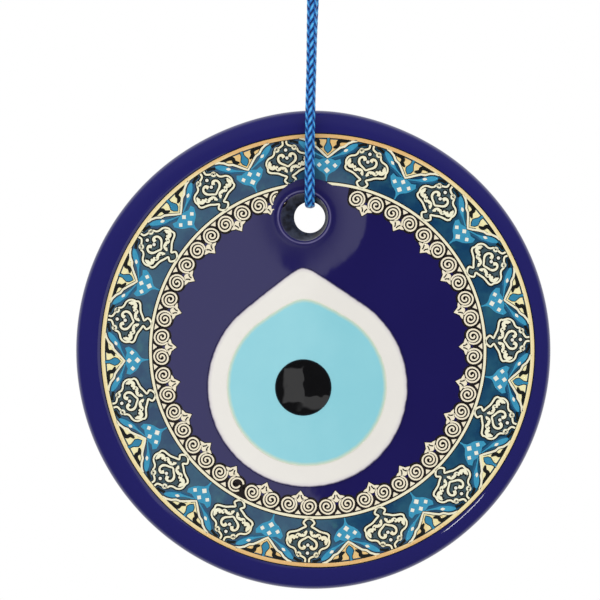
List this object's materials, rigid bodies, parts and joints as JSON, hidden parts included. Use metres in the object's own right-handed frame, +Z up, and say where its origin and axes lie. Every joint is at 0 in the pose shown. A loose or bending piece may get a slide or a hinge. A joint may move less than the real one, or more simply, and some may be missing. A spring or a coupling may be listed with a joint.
{
  "type": "evil eye ornament",
  "caption": "Round cobalt glass disc with a fused teardrop eye and a fired ornamental border, hung by a knotted braided cord through a hole near its top.",
  "frame": {"origin": "the point right under the knot where the two strands of the hanging cord meet, which a nail, hook or thread holds", "axes": "+Z up along the hanging cord, the printed face towards -Y, +X to the right seen from the front"},
  "size_m": [0.13, 0.016, 0.1874],
  "materials": {
    "cobalt_glass": "glossy, deep",
    "white_glass": "glossy",
    "turquoise_glass": "glossy",
    "black_glass": "glossy",
    "teal_enamel": "satin print",
    "gold_lustre": "fired gold, satin",
    "cream_gold_print": "fired print, satin",
    "sky_enamel": "fired print, satin",
    "dark_enamel": "fired print, satin",
    "blue_cord": "braided, soft sheen"
  },
  "bodies": {
    "hanger": {"cord_knot": "blue_cord", "cord_tails": "blue_cord"},
    "cord": {"cord_loop": "blue_cord"},
    "disc": {"glass_disc": "cobalt_glass", "white_drop": "white_glass", "turquoise_iris": "turquoise_glass", "black_pupil": "black_glass", "teal_band": "teal_enamel", "gold_outer_band": "gold_lustre", "gold_inner_line": "cream_gold_print", "gold_medallions": "cream_gold_print", "gold_frets": "gold_lustre", "sky_palmettes": "sky_enamel", "scroll_ground": "dark_enamel", "gold_scrolls": "cream_gold_print"}
  },
  "joints": [
    {"name": "cord_twist", "type": "hinge", "parent": "hanger", "child": "cord", "pos_m": [0, 0, 0], "axis": [0, 0, 1], "range_deg": [-180, 180], "stiffness_Nm_per_rad": 0.0003},
    {"name": "disc_rock", "type": "hinge", "parent": "cord", "child": "disc", "pos_m": [-0.0009, 0, -0.0601], "axis": [0, 1, 0], "range_deg": [-30, 30]}
  ]
}
